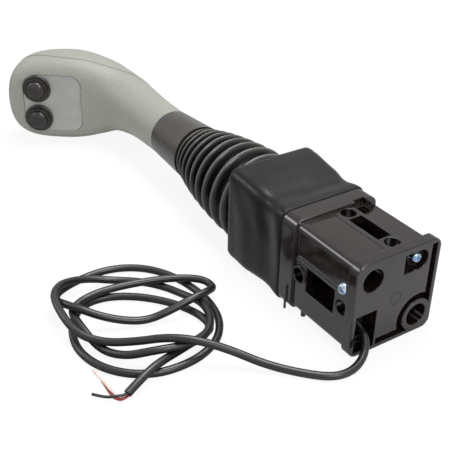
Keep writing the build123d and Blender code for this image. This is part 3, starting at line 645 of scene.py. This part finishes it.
def make_bellows():
    """Folds as a wave of radius along the lever: thin round crests between deep rounded roots.

    Within one fold, from nought to one, the radius is crest less depth times one minus the
    wave, and the wave is sin(pi t) to a power that sharpens it.  An inner wall closes it.
    The folds are made as two pieces, which meet at the end of the first fold.
    """
    shares = fold_growth ** np.arange(fold_count - 1, -1, -1)
    ends = np.concatenate([[0], np.cumsum(shares)]) / shares.sum()
    edges = boot_front_x - (boot_front_x - sleeve_x) * ends
    t = np.linspace(0, fold_count, fold_count * fold_steps + 1)
    fold = np.minimum(t.astype(int), fold_count - 1)
    within = t - fold
    x = edges[fold] + (edges[fold + 1] - edges[fold]) * within
    along = np.clip((t - 0.5) / (fold_count - 1), 0, 1)
    crest = first_crest + (last_crest - first_crest) * along ** crest_taper
    depth = first_depth + (last_depth - first_depth) * along
    wave = np.clip(np.sin(np.pi * within), 0, 1) ** crest_sharpness
    radius = crest - depth * (1 - wave)
    split = edges[1]
    lower = x >= split - split_overlap
    upper = x <= split + split_overlap
    for name, keep, bodies, start, end, room in (
        ("bellows_lower", lower, ("housing", "gimbal_ring"), first_bend_x, split, rod_room),
        ("bellows_upper", upper, ("gimbal_ring", "lever"), split, last_bend_x, 0.0),
    ):
        outer = np.stack([x[keep], radius[keep]], -1)
        inner = np.stack([x[keep], np.maximum(radius[keep] - bellows_wall, room)], -1)[::-1]
        grid = turned(np.vstack([outer, inner]), bellows_sides) * MM
        piece = surface(name, grid, bellows_rubber, round_u=True, round_v=True)
        # painted highlight along each crest, kept as the crest attribute; the inner wall gets none
        light = np.concatenate([wave[keep], 0 * wave[keep]]) ** crest_highlight_sharpness
        attribute = piece.data.attributes.new("crest", "FLOAT", "POINT")
        attribute.data.foreach_set("value", np.repeat(light, bellows_sides))
        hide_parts("bellows")
        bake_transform(piece)


def square_ring(count):
    """Inner square's points and outward directions round a rounded square, count per part.

    A point of the outline is (half side - corner radius) times the inner point, plus the corner
    radius times the direction.  Each quarter is half a straight side, a corner and half a side.
    """
    flat = np.linspace(0, 1, count, endpoint=False)
    bend = np.linspace(0, np.pi / 2, count, endpoint=False)
    one = np.ones(count)
    inner = np.vstack([np.stack([one, flat], -1), np.stack([one, one], -1), np.stack([1 - flat, one], -1)])
    outward = np.vstack([
        np.stack([one, 0 * one], -1), np.stack([np.cos(bend), np.sin(bend)], -1),
        np.stack([0 * one, one], -1),
    ])
    quarters = [
        np.array(m) for m in ([[1, 0], [0, 1]], [[0, 1], [-1, 0]], [[-1, 0], [0, -1]], [[0, -1], [1, 0]])
    ]
    return np.vstack([inner @ m for m in quarters]), np.vstack([outward @ m for m in quarters])


def bell(s, place, width):
    """Bell curve about a place along the boot, one value for each ring."""
    return np.exp(-((s - place) / width) ** 2)[:, None]


def eased(values):
    """Values with a moving average over a Hann window, except for a few at either end."""
    window = np.hanning(2 * smooth_reach + 3)[1:-1]
    soft = np.convolve(np.pad(values, smooth_reach, mode="edge"), window / window.sum(), "valid")
    out = values.copy()
    out[smooth_margin:-smooth_margin - 2] = soft[smooth_margin:-smooth_margin - 2]
    return out


def cross_section(x, yz):
    """Points of one ring, all at the same x."""
    return np.column_stack([np.full(len(yz), x), yz])


def make_boot():
    """Square cover: rounded squares along the lever, dented at the waist, with a wall inside.

    The dent is deepest in the middle of each side and falls away to the corners as 1 - t^2,
    and along the lever as a bell curve about the waist.  A swell near the front is made alike,
    a product of two sines makes a slow ripple, and the front is shifted a little to one side.
    """
    inner, outward = square_ring(boot_quarter_steps)
    share, half, corner = np.array(boot_sides).T
    s = np.concatenate([
        np.linspace(0, boot_long_end, boot_long_steps), np.linspace(boot_front_start, 1.0, boot_front_steps)
    ])
    half = np.interp(s, share, half)
    corner = np.interp(s, share, corner)
    half[:boot_long_steps] = eased(half[:boot_long_steps])
    x = collar_x + (boot_front_x - collar_x) * s
    ring = (half - corner)[:, None, None] * inner + corner[:, None, None] * outward
    middle = 1 - np.minimum(np.abs(inner).min(axis=1), 1.0) ** 2
    dent = waist_dent * bell(s, waist_place, waist_width) * middle
    belly = front_swell * bell(s, swell_place, swell_width) * middle
    phase = np.arctan2(inner[:, 1], inner[:, 0])
    along = s[:, None]
    ripple = np.sin(ripple_round * phase + ripple_along * along)
    ripple = ripple * np.sin(ripple_slow * along + ripple_sway * np.cos(2 * phase))
    fade = np.clip(along / ripple_fade, 0, 1) * np.clip((ripple_end - along) / ripple_fade, 0, 1)
    ring = ring + (belly - dent + soft_ripple * ripple * fade)[..., None] * outward
    ring = ring + boot_shift * (s ** shift_power)[:, None, None]
    outer = np.concatenate([np.repeat(x[:, None], len(inner), 1)[..., None], ring], -1)
    last = ring[-1]
    angle = np.arctan2(last[:, 1], last[:, 0])
    mouth = mouth_half * np.stack([np.cos(angle), np.sin(angle)], -1)
    face = [cross_section(boot_front_x, last + (mouth - last) * k) for k in mouth_shares[:-1]]
    face += [cross_section(boot_front_x + mouth_lip, last + (mouth - last) * mouth_shares[-1])]
    lip = [cross_section(boot_front_x + boot_wall, mouth)]
    inside = (inside_half - inside_corner) * inner + inside_corner * outward
    back = [cross_section(place, inside) for place in (boot_front_x + boot_wall, collar_x)]
    grid = np.concatenate([outer, np.stack(face + lip + back)]) * MM
    piece = surface("boot_cover", grid, boot_rubber, round_u=True, round_v=True)
    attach(piece, "housing")
    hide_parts("boot")


def pan_head(place, across, up, out):
    """Head of a screw: a dome with a cross recess over a short skirt, as a grid of radius by angle.

    The dome is height times the square root of 1 - (r/R)^p, and the recess goes down where the
    distance to either arm of the cross is small.
    """
    angle = full_turn(head_sides)
    share = np.concatenate([
        np.linspace(0, head_inner_end, head_inner_steps), np.linspace(head_rim_start, 1.0, head_rim_steps)
    ])
    r = share * head_radius
    rise = head_height * (1 - share ** dome_power) ** 0.5
    u = r[:, None] * np.cos(angle)
    v = r[:, None] * np.sin(angle)
    arm = np.minimum(np.abs(u), np.abs(v))
    length = np.maximum(np.abs(u), np.abs(v))
    sunk = np.clip((recess_half - arm) / recess_slope, 0, 1)
    sunk = sunk * np.clip((recess_reach - length) / recess_end_slope, 0, 1)
    h = rise[:, None] - recess_depth * sunk
    across, up, out = (np.array(a, float) for a in (across, up, out))
    spots = np.array(place) + u[..., None] * across + v[..., None] * up + h[..., None] * out
    rim = np.cos(angle)[:, None] * across + np.sin(angle)[:, None] * up
    skirt = np.array(place) + head_radius * rim - head_sunk * out
    return np.concatenate([spots, skirt[None]])


def make_screw_heads():
    """Pan heads of the face screw and the near screw, in place of the plain CAD heads."""
    for name, place, across, up, out in screw_heads:
        grid = pan_head(place, across, up, out) * MM
        piece = surface(name, grid, zinc_plating, round_v=True)
        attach(piece, "housing")
        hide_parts("housing_screws")


def make_caps():
    """Domed caps of the two buttons, turned about the button's axis, on a short skirt.

    Over a quarter turn the radius follows the cosine to a power and the height the sine, which
    is close to a quarter ellipse.
    """
    bend = np.linspace(0, np.pi / 2, cap_steps)
    radius = np.concatenate([[0.0, cap_half - cap_edge, cap_half], cap_half * np.cos(bend) ** cap_power])
    height = np.concatenate([
        [cap_base, cap_base, cap_base + cap_edge], cap_shoulder + cap_dome * np.sin(bend)
    ])
    angle = full_turn(cap_sides)
    ring = np.cos(angle)[:, None] * button_across + np.sin(angle)[:, None] * button_up
    for number, place in button_places.items():
        grid = np.array(place) + radius[:, None, None] * ring + height[:, None, None] * button_out
        piece = surface(f"cap_dome_{number}", grid * MM, button_plastic, round_v=True)
        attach(piece, f"button_{number}")
        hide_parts(f"button_cap_{number}")


# Glossy glass-filled nylon, nearly black with a brown cast, whose edges catch the light
housing_plastic = moulded(
    "glossy_brown_black_nylon", "#1e1714", "#17110f", roughness=0.12, patch_mm=24.0, grain_mm=3.0,
    depth_mm=0.004, spread=0.02, gloss=0.68, edge_mm=1.0
)
# Soft rubber with a silky sheen, and the mould's parting line along its middle
boot_rubber = moulded(
    "silky_black_rubber", "#19181a", "#0f0e10", roughness=0.32, patch_mm=26.0, grain_mm=0.7,
    depth_mm=0.02, spread=0.07, gloss=0.24, edge_mm=0.9, seam_mm=0.5
)
# The same rubber, black, with a painted highlight as a pale line along each crest
bellows_rubber = moulded(
    "stretched_black_rubber", "#0b0b0c", "#070708", roughness=0.25, patch_mm=12.0, grain_mm=0.6,
    depth_mm=0.01, spread=0.04, gloss=0.36, crest_highlight_tone="#6b6865"
)
# Satin nylon sleeve in two halves, which meet in a fine line
sleeve_plastic = moulded(
    "satin_black_nylon", "#37332f", "#2d2a27", roughness=0.27, patch_mm=18.0, grain_mm=0.9,
    depth_mm=0.004, spread=0.03, gloss=0.8, seam_mm=0.6
)
# Spark-eroded grey plastic of the grip, with a fine speckle
grip_plastic = moulded(
    "spark_eroded_grey_abs", "#96968e", "#8d8d86", roughness=0.52, patch_mm=1.3, grain_mm=0.7,
    depth_mm=0.03, spread=0.05, gloss=0.4, edge_mm=0.3
)
# Smoother grey plastic of the button panel
panel_plastic = moulded(
    "satin_grey_abs", "#a3a3a0", "#9c9c99", roughness=0.42, patch_mm=9.0, grain_mm=1.1,
    depth_mm=0.008, spread=0.04, gloss=0.4, edge_mm=0.3
)
# Brown-black plastic of the buttons, with a soft shine
button_plastic = moulded(
    "satin_brown_black_abs", "#2b2724", "#211e1b", roughness=0.28, patch_mm=6.0, grain_mm=0.8,
    depth_mm=0.01, spread=0.04, gloss=0.7, edge_mm=0.3
)
# Jacket of the cord, a warm black with a dull shine
cord_jacket = moulded(
    "matte_black_pvc", "#1c1a19", "#141211", roughness=0.36, patch_mm=9.0, grain_mm=0.7,
    depth_mm=0.02, spread=0.05, gloss=0.6
)
# Shiny thin insulation of the three conductors, in red, off-white and black
red_insulation, white_insulation, black_insulation = (
    moulded(name, light, dark, roughness, patch_mm=3.0, grain_mm=0.5, depth_mm=0.01, spread=0.03)
    for name, light, dark, roughness in (
        ("red_pvc_insulation", "#a8383c", "#8c2a2e", 0.35),
        ("white_pvc_insulation", "#ead8d0", "#dcc4ba", 0.35),
        ("black_pvc_insulation", "#2b2e2c", "#1f2120", 0.38),
    )
)
# Passivated zinc, with blue patches
zinc_plating = plated("blue_zinc_plating", "#d6e0e4", "#7f9fc4", 0.22, 2.2)
# Ground steel of the rod and pins, grey and even
bright_steel = plated("ground_steel", "#b9b9b6", "#a2a2a0", 0.3, 2.5)
# Die-cast alloy of the ring and hub, dull and a little darker
cast_alloy = plated("die_cast_alloy", "#a9a9a8", "#8f8f90", 0.45, 4.0)
# Sintered bronze of the bushes, brown-gold
bush_bronze = plated("sintered_bronze", "#a57a45", "#8b6436", 0.4, 2.0)

finishes = {
    housing_plastic: ["housing"],
    boot_rubber: ["boot"],
    bellows_rubber: ["bellows"],
    sleeve_plastic: ["sleeve"],
    grip_plastic: ["grip_finger_shell", "grip_palm_shell", "grip_core"],
    panel_plastic: ["button_panel"],
    button_plastic: ["button_bezel_1", "button_bezel_2", "button_cap_1", "button_cap_2",
                     "switch_body_1", "switch_body_2", "cord_gland"],
    cord_jacket: ["cord_lead", "cord_coil", "cord_tail"],
    red_insulation: ["red_wire"],
    white_insulation: ["white_wire"],
    black_insulation: ["black_wire"],
    zinc_plating: ["housing_screws", "neck_screws", "panel_nut_1", "panel_nut_2"],
    bright_steel: ["pivot_pins", "hub_pins", "ring_ball_stud", "hub_ball_stud", "lever_rod"],
    cast_alloy: ["gimbal_ring", "lever_hub"],
    bush_bronze: ["pivot_bushes"],
}
for finish, names in finishes.items():
    for name in names:
        paint(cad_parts[name], finish)

make_camera()
make_cord()
make_floor()
make_world()
make_lamps()
make_bellows()
make_boot()
make_screw_heads()
make_caps()
